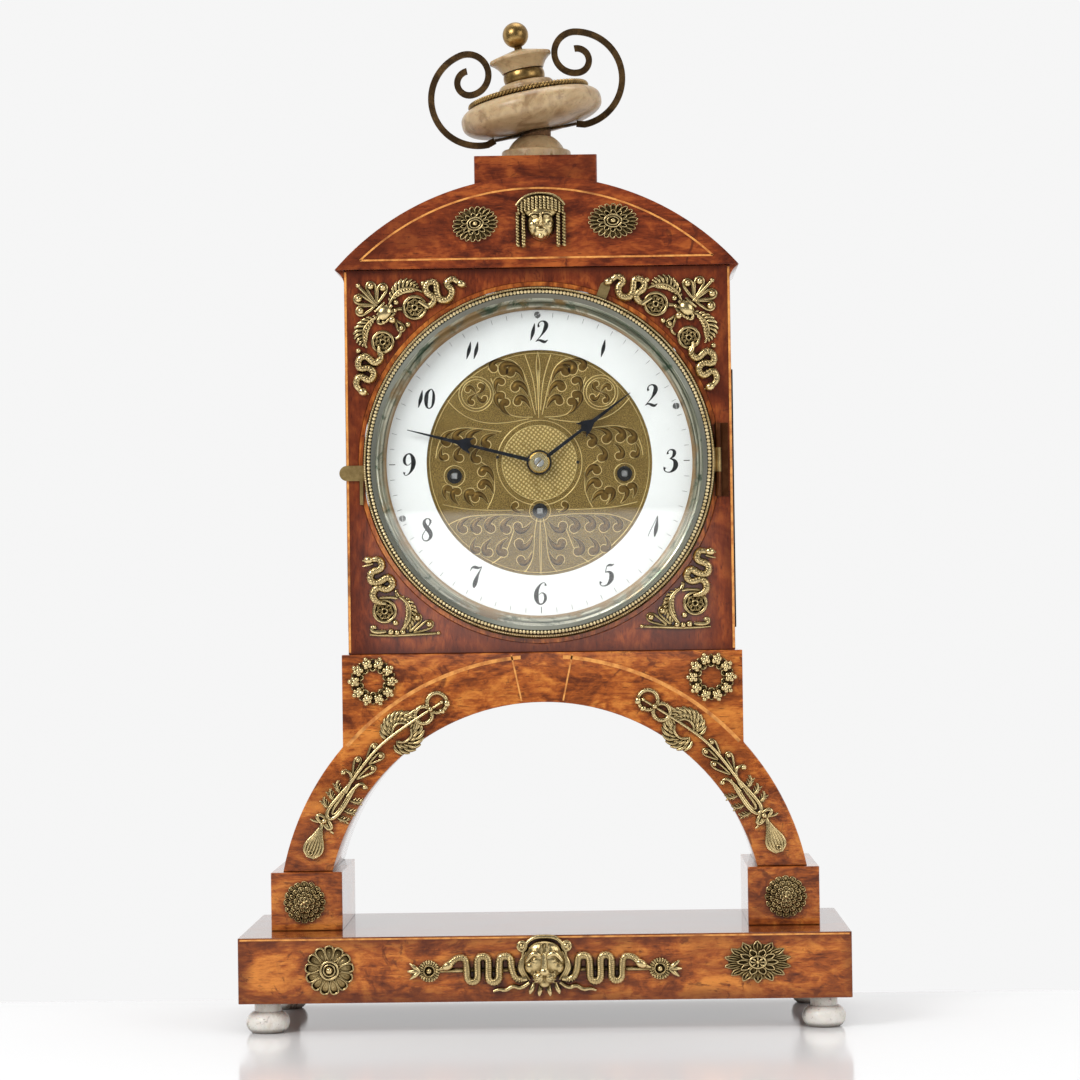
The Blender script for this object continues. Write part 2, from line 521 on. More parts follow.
disc_brass, tree, shader = material("disc brass")
place = node(tree, "TexCoord").outputs["Object"]
stipple = noise(tree, place, 2300, 2, 0.5)
patina = noise(tree, place, 42, 5, 0.6, 0.5)
colour = ramp(tree, stipple, (0.4, (0.1, 0.058, 0.014)), (0.64, (0.55, 0.37, 0.11)))
colour = mixed(tree, rise(tree, patina, 0.42, 0.66, 0.5), colour, (0.2, 0.12, 0.03))
finished(tree, shader, colour, Metallic=0.85, Roughness=0.46)
bump(tree, shader, stipple, 0.35, 0.0002)
dress("centre_disc", disc_brass)
cut_brass = metal("cut brass", (0.98, 0.78, 0.36), (0.82, 0.6, 0.24), (0.45, 0.28, 0.08), 0.34, 0.6)
leaf_brass = metal("leaf brass", (0.2, 0.115, 0.028), (0.14, 0.076, 0.018), (0.07, 0.038, 0.009), 0.42, 0.55)
hatch_brass, tree, shader = material("hatch brass")
place = node(tree, "TexCoord").outputs["Object"]
cuts = []
for lean in (52, -38):
    leaning = node(tree, "Mapping", Vector=place, Rotation=(0, radians(lean), 0)).outputs[0]
    weave = {"Vector": leaning, "Scale": 190, "Distortion": 2.5, "Detail": 2}
    cuts.append(node(tree, "TexWave", {"bands_direction": "X"}, **weave).outputs["Fac"])
cross = worked(tree, "MULTIPLY", *cuts)
worn = noise(tree, place, 160, 5, 0.7)
colour = ramp(tree, cross, (0.1, (0.42, 0.28, 0.08)), (0.6, (0.95, 0.75, 0.34)))
colour = mixed(tree, rise(tree, worn, 0.5, 0.68, 0.7), colour, (0.28, 0.17, 0.04))
finished(tree, shader, colour, Metallic=0.9, Roughness=0.4)
bump(tree, shader, cross, 0.4, 0.0003)

flower_x, flower_z = 30.8, 34.4
leaves = [comma(*spot) for spot in (
    (4.0, 27, 20, 1.15, 1), (5.0, 33, 14, 1.25, 1), (6.8, 40, 12, 1.35, 1), (9, 47.5, 62, 1.3, 1),
    (16, 50.6, 80, 1.1, 1), (14, 23.5, 60, 1.1, -1), (18.6, 26.5, 40, 1.1, -1), (20.5, 34.5, 20, 1.0, -1),
    *((flower_x, flower_z, lean, 0.75, 1) for lean in (20, 110, 200, 290)),
    (21, 14.5, 95, 1.15, 1), (27.5, 16.6, 92, 1.25, 1), (34.5, 17.3, 94, 1.25, 1), (41.5, 16.6, 104, 1.15, 1),
    (28.5, 8.5, 120, 1.1, 1), (37, 9, 118, 1.05, 1), (47.6, 9, 150, 0.9, 1), (22.6, -9, 8, 1.2, 1),
    (22.8, -15, 12, 1.15, 1), (25.4, -20, 24, 1.15, 1), (33, -21, 50, 1.1, -1), (40, -20.5, 48, 1.1, -1),
    (46, -18, 30, 0.95, -1), (9, -24.6, 80, 0.8, -1), (4, -29, 150, 1.2, -1), (3.6, -36, 160, 1.25, -1),
    (4, -44, 165, 1.1, -1), (12.5, -26.5, 105, 1.2, 1), (19.5, -26, 100, 1.25, 1), (27, -26.4, 104, 1.2, 1),
    (34.5, -26.6, 108, 1.1, 1), (16, -37, 120, 1.2, 1), (24, -37, 125, 1.15, 1), (31.5, -36.5, 140, 1.0, 1))]
leaves += [flipped(line) for line in leaves]
stems = [[(x, z, 0.26) for x, z in line] for line in (
    ((1.7, 23.8), (3.4, 31), (5.2, 39), (8.0, 47), (13.6, 52), (20.6, 51), (24.8, 46.4)),
    ((2.9, 22.6), (11.3, 22.2), (18.2, 26.4), (20.6, 34.6), (23.4, 42)),
    ((5.0, 21.8), (17.0, 19.4), (29.4, 20.2), (40.3, 25.4), (45.0, 31.4)),
    ((18.6, 15.6), (27, 17), (36, 18), (44, 17), (50.4, 11), (51.2, 3)),
    ((8, -23.2), (18, -23.4), (28, -23), (38, -22.4), (48, -20)),
    ((26, -22.4), (22.2, -16), (22.2, -8), (24.4, -1.6), (29, 1)),
    ((1.4, -27), (3, -34), (3, -42), (4.4, -50), (8, -54)),
    ((4, -26.6), (14, -25.4), (26, -25.4), (38, -26), (45.4, -30)),
    ((12, -30.6), (14.6, -38), (18, -46), (24, -49.4)),
    ((1.0, 26), (1.6, 36), (3.4, 45), (6.4, 53.4)))]
stems += [[(0, 55, 0.1), (1.3, 49, 0.24), (0.3, 40, 0.3), (0, 22, 0.16)],
          [(0, 46, 0.1), (0.7, 38, 0.3), (0, 27, 0.1)], [(0, -55, 0.2), (0.8, -46, 0.24), (0, -28, 0.16)]]
winding_holes = ((-42, -6), (42, -6), (0, -23.8))
rings = [(0, 0, 18.6, 0.22), (0, 0, 21.2, 0.26), (0, 0, 54.7, 0.2)]
rings += [(side * flower_x, flower_z, reach, 0.24) for side in (-1, 1) for reach in (7.2, 8.6)]
rings += [(x, z, 5.2, 0.22) for x, z in winding_holes]
rings = [[(x + reach * sin(a * pi / 12), z + reach * cos(a * pi / 12), wide) for a in range(24)]
         for x, z, reach, wide in rings]
head_depth = 0.02
for name, grow, level, finish in (
        ("engraving", 0.4, 8.32, cut_brass), ("engraved_leaves", 0.0, 8.37, leaf_brass)):
    bm = bmesh.new()
    for line in leaves:
        x, z, r = line[-1]
        place = Matrix.Translation((x * MM, -head_depth * MM, z * MM)) @ facing
        bmesh.ops.create_circle(bm, cap_ends=True, segments=20, radius=(r + grow) * MM, matrix=place)
    bmesh.ops.solidify(bm, geom=bm.faces[:], thickness=head_depth * MM)
    strands(bm, [[(x, z, r + grow) for x, z, r in line] for line in leaves], 0.02, fine=4, sides=0)
    if grow:
        strands(bm, stems + [flipped(line) for line in stems], 0.2, fine=3, sides=0)
        strands(bm, rings, 0.2, closed=True, fine=4, sides=0)
    bmesh.ops.translate(bm, vec=(0, -level * MM, dial_height * MM), verts=bm.verts[:])
    piece(name, bm, finish, "case", "gilt_brass", smooth=False)


def washer(bm, x, z, inner, outer, y, segments=48):
    """Lays a flat washer facing the front, in millimetres."""
    place = Matrix.Translation((x * MM, y * MM, z * MM)) @ facing
    edges = []
    for radius in (inner, outer):
        made = bmesh.ops.create_circle(bm, segments=segments, radius=radius * MM, matrix=place)["verts"]
        edges += list({e for v in made for e in v.link_edges})
    bmesh.ops.bridge_loops(bm, edges=edges)


bm = bmesh.new()
hatch_inner, hatch_outer, hatch_face = 6.4, 18.4, -8.36
washer(bm, 0, dial_height, hatch_inner, hatch_outer, hatch_face, 64)
bmesh.ops.solidify(bm, geom=bm.faces[:], thickness=0.04 * MM)
piece("hatched_centre", bm, hatch_brass, "case", "gilt_brass", smooth=False)

# Winding holes: three black-rimmed holes over the steel squares, and two small pin holes by the centre.
# The rims are blackened brass bushes pressed into the disc.
black, tree, shader = material("blackening")
place = node(tree, "TexCoord").outputs["Object"]
colour = ramp(tree, noise(tree, place, 800, 4), (0.4, (0.004, 0.004, 0.004)), (0.8, (0.03, 0.025, 0.02)))
finished(tree, shader, colour, Roughness=0.35)
bm = bmesh.new()
for x, z in winding_holes:
    washer(bm, x, dial_height + z, 1.95, 3.7, -8.6)
for x, z in ((-20.6, 3), (19, 0)):
    washer(bm, x, dial_height + z, 0.05, 0.8, -8.45, 16)
bmesh.ops.solidify(bm, geom=bm.faces[:], thickness=0.25 * MM)
piece("winding_rims", bm, black, "case", "clock_brass", smooth=False)

# Hands: pierced from blued sheet steel with paired barbs, the minute hand over the hour hand.
# A turned brass boss holds them, with the slotted steel end of the arbor in its middle.
blue, tree, shader = material("blued steel")
place = node(tree, "TexCoord").outputs["Object"]
colour = ramp(tree, noise(tree, place, 240, 5, 0.6),
              (0.35, (0.004, 0.005, 0.009)), (0.75, (0.022, 0.026, 0.04)))
finished(tree, shader, colour, Metallic=0.6, Roughness=0.34)
for part in ("hour_hand", "minute_hand"):
    dress(part, blue, 0.00015)
boss_brass = metal("boss brass", (0.92, 0.76, 0.42), (0.75, 0.57, 0.27), (0.2, 0.12, 0.04), 0.14, 0.62)
dress("hand_boss", boss_brass, 0.0004)
bm = bmesh.new()
boss_face, slot_turn = -15.7, 50
place = Matrix.Translation((0, boss_face * MM, dial_height * MM)) @ facing
slotted(bm, place @ Matrix.Rotation(radians(slot_turn), 4, "Z"), 2.1, 0.6, 0.5, 24)
bmesh.ops.solidify(bm, geom=bm.faces[:], thickness=0.5 * MM)
bmesh.ops.bevel(bm, geom=bm.edges[:], offset=0.12 * MM, affect="EDGES", segments=2, profile=0.5, material=-1)
piece("arbor_end", bm, steel, "minute_group", "steel")
# Bezel: a cast brass ring with two fine roped edges, hinged on the right, with a thumb tab on the left.
# It holds the flat glass and a conical brass reflector, silvered once and now streaked with green tarnish.
def gilding(name, face, relief):
    """Worn fire gilding over a front face: rubbed bright on its heights, brown in its depths."""
    made, tree, shader = material(name)
    place = node(tree, "TexCoord").outputs["Object"]
    patch = noise(tree, place, 170, 6, 0.65, 0.5)
    fine = noise(tree, place, 1700, 3, 0.6)
    depth = node(tree, "SeparateXYZ", Vector=place).outputs[1]
    height = spread(tree, depth, face * MM, (face - relief) * MM, 0.0, 0.2)
    open_share = node(tree, "AmbientOcclusion", {"samples": 12}, Distance=0.0024).outputs["AO"]
    worn = worked(tree, "ADD", worked(tree, "MULTIPLY_ADD", patch, 0.4, height), open_share)
    worn = spread(tree, worn, 0.55, 1.35)
    colour = ramp(tree, worn, (0.0, (0.014, 0.009, 0.004)), (0.4, (0.075, 0.048, 0.018)),
                  (0.72, (0.32, 0.22, 0.085)), (1.0, (0.82, 0.64, 0.32)))
    colour = mixed(tree, rise(tree, fine, 0.55, 0.75, 0.4), colour, (0.06, 0.04, 0.017))
    finished(tree, shader, colour, Metallic=1)
    tree.links.new(spread(tree, worn, 0.0, 1.0, 0.5, 0.24), shader.inputs["Roughness"])
    bump(tree, shader, fine, 0.18, 0.0002)
    return made


gilt = metal("gilt", (0.66, 0.49, 0.22), (0.36, 0.25, 0.1), (0.028, 0.019, 0.009), 0.27, 0.5, 0.0026, 0.2)
rim_tones = ((0.9, 0.74, 0.42), (0.62, 0.46, 0.2), (0.04, 0.027, 0.012))
rim_gilt = metal("rim gilt", *rim_tones, 0.25, 0.56, 0.0007, 0.1)
browned = metal("browned brass", (0.16, 0.06, 0.025), (0.09, 0.03, 0.012), (0.02, 0.008, 0.004), 0.35, 0.45)
dress("bezel_hinge", browned, 0.0003)
dress("strike_silent_lever", gilt, 0.0002)
bm = bmesh.new()
rope_face, fine_rope, main_rope = -21.1, 85.55, 83.6
ring_frame = Matrix.Translation((0, rope_face * MM, dial_height * MM)) @ facing
rope(bm, ring_frame @ Matrix.Translation((0, 0, -0.5 * MM)), fine_rope, 0.5, 470)
rope(bm, ring_frame @ Matrix.Translation((0, 0, 0.05 * MM)), main_rope, 1.05, 300)
piece("bezel_ropes", bm, rim_gilt, "bezel", "gilt_brass")
tarnish, tree, shader = material("tarnish")
place = node(tree, "TexCoord").outputs["Object"]
ring_place = node(tree, "Mapping", Vector=place, Location=(0, 0, -dial_height * MM)).outputs[0]
around = node(tree, "SeparateXYZ", Vector=ring_place)
level = node(tree, "CombineXYZ", X=around.outputs[0], Z=around.outputs[2]).outputs[0]
reach = node(tree, "VectorMath", {"operation": "LENGTH"}, i0=level).outputs["Value"]
streak = node(tree, "CombineXYZ", X=reach, Y=noise(tree, ring_place, 14, 2), Z=around.outputs[2]).outputs[0]
streak = node(tree, "Mapping", Vector=streak, Scale=(900, 2.2, 9)).outputs[0]
bands = noise(tree, streak, 1, 4, 0.6)
colour = ramp(tree, bands, (0.34, (0.03, 0.045, 0.03)), (0.48, (0.3, 0.3, 0.22)), (0.62, (0.82, 0.79, 0.66)))
blot = noise(tree, ring_place, 70, 6, 0.7, 1.0)
colour = mixed(tree, rise(tree, blot, 0.5, 0.62, 0.85), colour, (0.03, 0.07, 0.035))
brown = rise(tree, noise(tree, ring_place, 45, 5, 0.6), 0.52, 0.64, 0.85)
colour = mixed(tree, brown, colour, (0.3, 0.17, 0.06))
colour = mixed(tree, spread(tree, reach, 0.0775, 0.0757), colour, (0.36, 0.2, 0.07))
finished(tree, shader, colour, Metallic=0.75, Roughness=0.3)
bump(tree, shader, blot, 0.15, 0.0004)
dress("dial_reflector", tarnish)
bezel_brass, tree, shader = material("bezel brass")
place = node(tree, "TexCoord").outputs["Object"]
centred = {"Location": (0, 0, -dial_height * MM), "Scale": (1, 0, 1)}
ring_place = node(tree, "Mapping", Vector=place, **centred).outputs[0]
reach = node(tree, "VectorMath", {"operation": "LENGTH"}, i0=ring_place).outputs["Value"]
patch = noise(tree, place, 160, 5, 0.65)
colour = ramp(tree, patch, (0.35, (0.3, 0.2, 0.075)), (0.65, (0.6, 0.43, 0.18)))
colour = mixed(tree, rise(tree, reach, 0.0853, 0.0848), colour, (0.012, 0.009, 0.006))
colour = mixed(tree, rise(tree, reach, 0.0827, 0.0824), colour, (0.32, 0.33, 0.28))
finished(tree, shader, colour, Metallic=0.85, Roughness=0.36)
bump(tree, shader, patch, 0.15, 0.0003)
dress("bezel_ring", bezel_brass)
bm = bmesh.new()
reveal_inner, reveal_outer, reveal_face = 86.9, 88.95, -13.6
washer(bm, 0, dial_height, reveal_inner, reveal_outer, reveal_face, 128)
bmesh.ops.solidify(bm, geom=bm.faces[:], thickness=1.2 * MM)
piece("opening_ring", bm, reveal_veneer, "case", "veneered_wood", smooth=False)
glass, tree, shader = material("glass")
clear_tint = (0.97, 0.985, 0.975, 1)
finished(tree, shader, Base_Color=clear_tint, Roughness=0.0, IOR=1.45, Transmission_Weight=1)
clear = node(tree, "BsdfTransparent", Color=clear_tint)
path = node(tree, "LightPath")
passing = node(tree, "MixShader", i0=path.outputs["Is Shadow Ray"])
tree.links.new(shader.outputs[0], passing.inputs[1])
tree.links.new(clear.outputs[0], passing.inputs[2])
tree.links.new(passing.outputs[0], tree.nodes["Material Output"].inputs["Surface"])
for part in ("bezel_glass", "back_door_glass"):
    dress(part, glass)


# Rosettes: cast and chased gilt flowers pinned to the pediment, the blocks and the base.
# Sunflowers with hollow petals, round blooms of four rows, a daisy and an oval flower of pointed petals.
bead_meshes = {}


def bead(bm, x, z, radius, level=0.0, long=1.0, tall=1.0, turn=0.0, fine=12):
    """Sets a cast bead on the face, drawn out along its turn and scaled in height."""
    place = Matrix.Translation((x * MM, -level * MM, z * MM)) @ Matrix.Rotation(radians(turn), 4, "Y")
    size = Matrix.Diagonal((radius * long * MM, radius * tall * MM, radius * MM, 1))
    if fine not in bead_meshes:
        ball = bmesh.new()
        bmesh.ops.create_uvsphere(ball, u_segments=fine, v_segments=fine * 2 // 3, radius=1)
        bead_meshes[fine] = bpy.data.meshes.new("bead")
        ball.to_mesh(bead_meshes[fine])
        ball.free()
    copy = bead_meshes[fine].copy()
    copy.transform(place @ size)
    bm.from_mesh(copy)
    bpy.data.meshes.remove(copy)


def oval_place(x, z, long, tilt, angle, reach):
    """Place on an oval round a centre, at an angle from its top, its long axis tilted clockwise."""
    u, v = long * reach * sin(angle), reach * cos(angle)
    c, s = cos(radians(tilt)), sin(radians(tilt))
    return x + u * c + v * s, z + v * c - u * s


def ring(bm, x, z, radius, wire, level=0.0, long=1.0, turn=0.0):
    """Casts a round or oval wire ring on the face."""
    around = [oval_place(x, z, long, turn, step * pi / 6, 1.025 * radius) for step in range(12)]
    strands(bm, [[(px, pz, wire) for px, pz in around]], 1.0, level, closed=True, fine=3)


def disc(bm, x, z, radius, level, long=1.0, turn=0.0, dome=0.25):
    """Casts a low domed ground under an ornament."""
    bead(bm, x, z, radius, level, long, dome, turn, 24)


def petals(bm, x, z, count, inner, outer, width, wire, level, long=1.0, tilt=0.0, pointed=0.3, height=1.0,
           first=0.0):
    """Casts a ring of hollow petals, each a raised rim, about a centre."""
    lines = []
    for step in range(count):
        angle = 2 * pi * (step + first) / count
        half = width / 2
        rim = [(0.25 * half, inner), (half, inner + 0.6 * (outer - inner)), (pointed * half, outer),
               (-pointed * half, outer), (-half, inner + 0.6 * (outer - inner)), (-0.25 * half, inner)]
        line = []
        for side, reach in rim:
            px, pz = oval_place(x, z, long, tilt, angle + side / reach, reach)
            line.append((px, pz, wire))
        lines.append(line)
    strands(bm, lines, height, level, closed=True, fine=4, sides=1)


def spokes(bm, x, z, count, inner, outer, wide, level, long=1.0, tilt=0.0, first=0.0, height=0.9):
    """Casts a ring of plump petals, each one tapering strand, about a centre."""
    lines = []
    for step in range(count):
        angle = 2 * pi * (step + first) / count
        line = []
        for share, radius in ((0, 0.4), (0.35, 0.8), (0.75, 1.0), (0.95, 0.75), (1, 0.3)):
            px, pz = oval_place(x, z, long, tilt, angle, inner + share * (outer - inner))
            line.append((px, pz, radius * wide))
        lines.append(line)
    strands(bm, lines, height, level, fine=3)


def mount(name, bm, face, relief, *stands_for):
    """Sets a finished casting on its face, gilt and rubbed to its relief."""
    bmesh.ops.translate(bm, vec=(0, face * MM, 0), verts=bm.verts[:])
    return piece(name, bm, gilding(name, face, relief), "case", "gilt_brass", *stands_for)


block_face, bloom_z = -22.5, 60.5
bm = bmesh.new()
for x, z, long, tilt in ((-29.8, 392, 1.32, -12), (38, 392.5, 1.43, 2)):
    disc(bm, x, z, 7.6, 0.1, long, tilt, 0.1)
    petals(bm, x, z, 22, 4.2, 8.5, 2.0, 0.3, 1.1, long, tilt, 0.5, 1.2)
    petals(bm, x, z, 12, 2.6, 5.4, 2.0, 0.3, 1.9, long, tilt, 0.25, 1.2)
    ring(bm, x, z, 3.0, 0.45, 2.3, long, tilt)
    ring(bm, x, z, 2.0, 0.35, 2.5, long, tilt)
    bead(bm, x, z, 1.0, 2.6, long, 0.9, tilt)
mount("pediment_sunflowers", bm, pediment_face, 3.0, "pediment_rosettes")
bm = bmesh.new()
for x in (-117.5, 117.5):
    disc(bm, x, bloom_z, 9.2, 0.1, dome=0.12)
    for count, inner, outer, wide, level, first in (
            (16, 7.0, 10.1, 1.5, 0.7, 0), (13, 4.6, 7.6, 1.35, 1.5, 0.5),
            (9, 2.4, 5.0, 1.2, 2.3, 0), (6, 0.8, 2.9, 0.95, 3.0, 0.5)):
        rim = {"pointed": 0.75, "first": first, "height": 1.2}
        petals(bm, x, bloom_z, count, inner, outer, 2 * wide, 0.34, level + 0.6, **rim)
        spokes(bm, x, bloom_z, count, inner - 0.3, outer - 0.2, 0.8 * wide, level, first=first)
    bead(bm, x, bloom_z, 1.0, 3.6)
mount("block_blooms", bm, block_face, 4.2, "block_rosettes")
bm = bmesh.new()
x, z = -103, 30.9
disc(bm, x, z, 11.2, 0.1, dome=0.12)
petals(bm, x, z, 13, 4.6, 11.7, 4.6, 0.5, 1.1, pointed=0.75, height=1.3)
spokes(bm, x, z, 13, 5.0, 9.0, 0.5, 0.8)
ring(bm, x, z, 4.2, 0.7, 1.8)
ring(bm, x, z, 2.7, 0.5, 2.1)
bead(bm, x, z, 1.8, 2.2)
x, z, long = 101.8, 32.6, 1.62
disc(bm, x, z, 8.6, 0.1, long, dome=0.12)
petals(bm, x, z, 14, 4.4, 9.9, 3.0, 0.4, 0.9, long, pointed=0.08, height=1.2)
spokes(bm, x, z, 14, 4.4, 9.2, 0.5, 0.8, long)
petals(bm, x, z, 10, 2.4, 6.0, 2.6, 0.35, 2.0, long, pointed=0.2, first=0.5)
ring(bm, x, z, 2.8, 0.5, 2.5, 1.4)
spokes(bm, x, z, 8, 0.6, 2.4, 0.5, 2.8, 1.4)
bead(bm, x, z, 0.9, 3.1)
mount("base_flowers", bm, base_face, 3.0, "base_rosettes")

# Grape wreaths: two small cast wreaths at the shoulders of the bridge, gilt like the other mounts.
# Two vine rings carry ten clusters of grapes, with small wire loops between the clusters.
bm = bmesh.new()
for side in (-1, 1):
    x, z = side * 83, 167.8
    ring(bm, x, z, 6.4, 0.7, 0.5)
    ring(bm, x, z, 8.8, 0.6, 0.4)
    for step in range(10):
        angle = 2 * pi * (step + 0.5) / 10
        for reach, off, radius in ((8.0, -0.13, 1.5), (8.0, 0.13, 1.5), (9.8, -0.12, 1.45), (9.8, 0.12, 1.45),
                                   (11.3, 0, 1.35), (9.0, 0, 1.6)):
            bead(bm, x + reach * sin(angle + off), z + reach * cos(angle + off), radius, 1.3, fine=9)
        knot = 2 * pi * step / 10
        ring(bm, x + 6.6 * sin(knot), z + 6.6 * cos(knot), 1.35, 0.42, 1.2)
        ring(bm, x + 9.8 * sin(knot), z + 9.8 * cos(knot), 1.1, 0.4, 0.9)
mount("vine_wreaths", bm, arch_face, 2.8, "grape_wreaths")


# Pediment mask: a cast gilt antique mask with a smooth cap, a fringe of short locks and long braids.
# The face is a plain calm one, chased smooth; the braids are twisted and hang to the chin.
def melted(made, grain, smoothings):
    """Runs a casting's parts together into one skin of the grain given, and softens it."""
    skin = made.modifiers.new("Skin", "REMESH")
    skin.mode = "VOXEL"
    skin.voxel_size = grain * MM
    skin.use_smooth_shade = True
    soften = made.modifiers.new("Soften", "SMOOTH")
    soften.factor = 0.5
    soften.iterations = smoothings
    return made


def plait(bm, x, top, bottom, radius, level):
    """Hangs a twisted braid straight down, as slanting lumps."""
    count = int((top - bottom) / (1.1 * radius))
    for step in range(count):
        z = top + (bottom - top) * (step + 0.5) / count
        bead(bm, x, z, 0.72 * radius, level, 1.5, 1.3, 36, 10)


mask_x, mask_z = 2.5, 393.8
bm = bmesh.new()
bead(bm, mask_x, mask_z - 2.4, 8.0, 1.2, 0.88, 0.7, fine=32)
bead(bm, mask_x, mask_z - 5.6, 4.6, 3.0, 0.95, 0.85, fine=24)
bead(bm, mask_x, mask_z + 3.4, 4.6, 3.0, 1.3, 0.75, fine=24)
for side in (-1, 1):
    bead(bm, mask_x + side * 3.7, mask_z - 3.0, 2.3, 4.6, 1, 0.8)
    bead(bm, mask_x + side * 2.9, mask_z + 0.7, 0.85, 6.0, 1.7, 0.8, 0)
    brow = [(0.9, 2.1, 0.35), (2.6, 2.9, 0.6), (4.6, 2.5, 0.5), (5.8, 1.2, 0.25)]
    strands(bm, [[(mask_x + side * x, mask_z + z, r) for x, z, r in brow]], 1.0, 6.3)
    lid = [(1.4, 0.7, 0.18), (2.2, 1.5, 0.3), (3.4, 1.5, 0.3), (4.5, 0.7, 0.18)]
    strands(bm, [[(mask_x + side * x, mask_z + z, r) for x, z, r in lid]], 1.0, 6.6)
    bead(bm, mask_x + side * 1.0, mask_z - 3.3, 0.7, 7.2)
nose = [(0, 2.4, 0.6), (0, 0, 0.8), (0, -2.6, 1.0), (0, -3.5, 0.9)]
strands(bm, [[(mask_x + x, mask_z + z, r) for x, z, r in nose]], 1.0, 7.2)
bead(bm, mask_x, mask_z - 3.1, 1.0, 7.7)
lips = [[(-2.2, -5.7, 0.2), (-0.9, -5.2, 0.5), (0, -5.4, 0.5), (0.9, -5.2, 0.5), (2.2, -5.7, 0.2)],
        [(-1.9, -6.0, 0.2), (0, -6.6, 0.65), (1.9, -6.0, 0.2)]]
strands(bm, [[(mask_x + x, mask_z + z, r) for x, z, r in line] for line in lips], 1.0, 6.6)
bead(bm, mask_x, mask_z - 8.6, 1.6, 5.2, 1.1)
bmesh.ops.translate(bm, vec=(0, pediment_face * MM, 0), verts=bm.verts[:])
melted(piece("mask_face", bm, gilding("mask gilt", pediment_face, 8.2), "case", "gilt_brass"), 0.22, 3)
bm = bmesh.new()
bead(bm, mask_x, mask_z + 6.6, 7.2, 0.5, 1.58, 0.8, fine=32)
for step in range(13):
    share = (step - 6) / 6
    top, low = mask_z + 10.8 - 3.2 * share**2, mask_z + 4.6 - 2.2 * share**2
    plait(bm, mask_x + 11.4 * share * (1 - 0.06 * share**2), top, low, 1.0, 6.1 - 3.0 * share**2)
band = [(-12.0, 6.6, 0.4), (-9.6, 10.4, 0.5), (-4, 12.4, 0.5), (4, 12.4, 0.5), (9.6, 10.4, 0.5),
        (12.0, 6.6, 0.4)]
strands(bm, [[(mask_x + x, mask_z + z, r) for x, z, r in band]], 1.0, 4.6)
for side in (-1, 1):
    plait(bm, mask_x + side * 8.5, mask_z + 3.4, mask_z - 13.0, 1.3, 2.8)
    plait(bm, mask_x + side * 11.3, mask_z + 3.4, mask_z - 13.4, 1.3, 1.9)
    bead(bm, mask_x + side * 8.6, mask_z - 12.8, 1.2, 1.6)
mount("mask_hair", bm, pediment_face, 6.6, "pediment_mask")


# Spandrels: cast gilt corner mounts on the case front, palmettes and wire-ring roundels with serpents.
# The upper pair fills the corners over the dial; the lower pair climbs from a scrolled foot.
def teardrop(bm, root, tip, half, wire, level=0.8):
    """Casts a teardrop loop from its root to a balled tip, over a thin hollow web."""
    run, climb = tip[0] - root[0], tip[1] - root[1]
    length = hypot(run, climb)
    ux, uz = run / length, climb / length
    shape = ((0.0, 0.0), (0.4, -0.55), (0.86, -1.1), (1.06, 0.0), (0.86, 1.1), (0.4, 0.55))
    line = [(root[0] + ux * s * length - uz * w * half, root[1] + uz * s * length + ux * w * half,
             wire) for s, w in shape]
    strands(bm, [line], 1.1, level, closed=True, fine=5)
    bead(bm, tip[0] - ux * half * 0.8, tip[1] - uz * half * 0.8, 0.8 * half, level + 0.4)


def roundel(bm, x, z, radius, level=0.9):
    """Casts a wire-ring roundel with a leafy flower and a button."""
    ring(bm, x, z, radius - 0.8, 0.9, level)
    disc(bm, x, z, radius - 0.9, 0.1, dome=0.12)
    ring(bm, x, z, radius - 2.6, 0.5, level - 0.1)
    petals(bm, x, z, 7, 1.3, radius - 1.9, 2.2, 0.38, level + 0.1, pointed=0.4)
    ring(bm, x, z, 1.3, 0.45, level + 0.6)


def sampled(line, gap):
    """Places along a smooth strand line, a gap apart, each with its radius and heading."""
    found, owed = [], 0.0
    for p, q, r in zip(line, line[1:], line[2:]):
        for step in range(24):
            t = step / 24
            weights = (0.5 * (1 - t) ** 2, 0.5 + t - t * t, 0.5 * t * t)
            spot = [sum(w * c for w, c in zip(weights, cs)) for cs in zip(p, q, r)]
            if found:
                owed -= hypot(spot[0] - last[0], spot[1] - last[1])
            last = spot
            if owed <= 0:
                run = (1 - t) * (q[0] - p[0]) + t * (r[0] - q[0])
                climb = (1 - t) * (q[1] - p[1]) + t * (r[1] - q[1])
                found.append((*spot, atan2(climb, run)))
                owed += gap
    return found


def acanthus(bm, line, eye, level=1.0, long=4.4):
    """Casts an acanthus leaf: a rib that curls about an eye, with plump lobes swept back from it."""
    lines = [line]
    spots = sampled(line, 1.7)
    for number, (x, z, radius, heading) in enumerate(spots):
        share = sin(pi * (number + 1.2) / (len(spots) + 1.4))
        away = 1 if (x - eye[0]) * -sin(heading) + (z - eye[1]) * cos(heading) > 0 else -1
        for side, reach in ((away, long * share), (-away, 0.6 * long * share)):
            lobe = []
            for out, swept, wide in ((0.0, 0.0, 0.5), (0.4, 0.12, 0.95), (0.8, 0.4, 1.0), (0.95, 0.85, 0.5)):
                turn = heading + side * pi / 2
                px = x + reach * (out * cos(turn) + swept * cos(heading))
                pz = z + reach * (out * sin(turn) + swept * sin(heading))
                lobe.append((px, pz, 1.05 * wide * (0.5 + 0.5 * share)))
            lines.append(lobe)
    strands(bm, lines, 1.0, level, fine=4)


